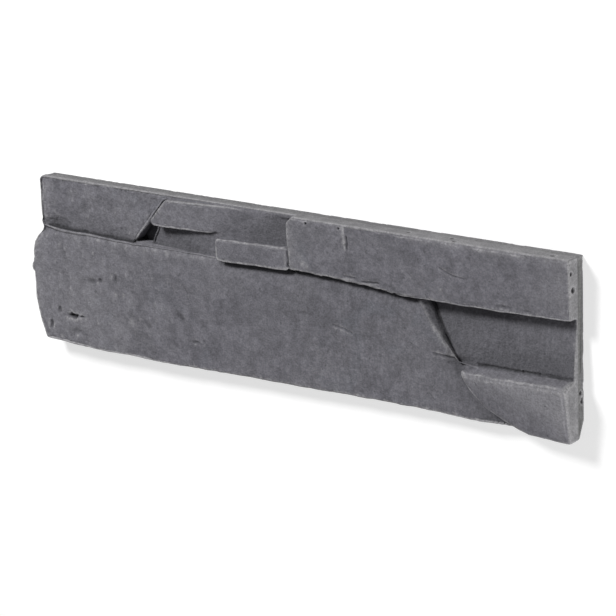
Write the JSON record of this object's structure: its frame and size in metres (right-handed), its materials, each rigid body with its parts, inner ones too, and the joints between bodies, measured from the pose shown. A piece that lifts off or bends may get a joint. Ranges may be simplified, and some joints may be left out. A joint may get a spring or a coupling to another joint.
{
  "type": "concrete cladding tile",
  "caption": "Cast concrete wall cladding tile: flat back for bonding, face cast as a stepped relief of split stones with raked joints, swollen left end and wavy lower edge.",
  "frame": {"origin": "middle of the flat back, at the centre of the tile's box", "axes": "+X along the courses towards the square right end, +Y up the wall, +Z out of the wall through the relief"},
  "size_m": [0.502, 0.1344, 0.0264],
  "materials": {
    "concrete": "matt cast concrete, through-coloured graphite grey, rough and lighter along worn edges"
  },
  "bodies": {
    "root": {"cladding_tile": "concrete"}
  },
  "joints": []
}
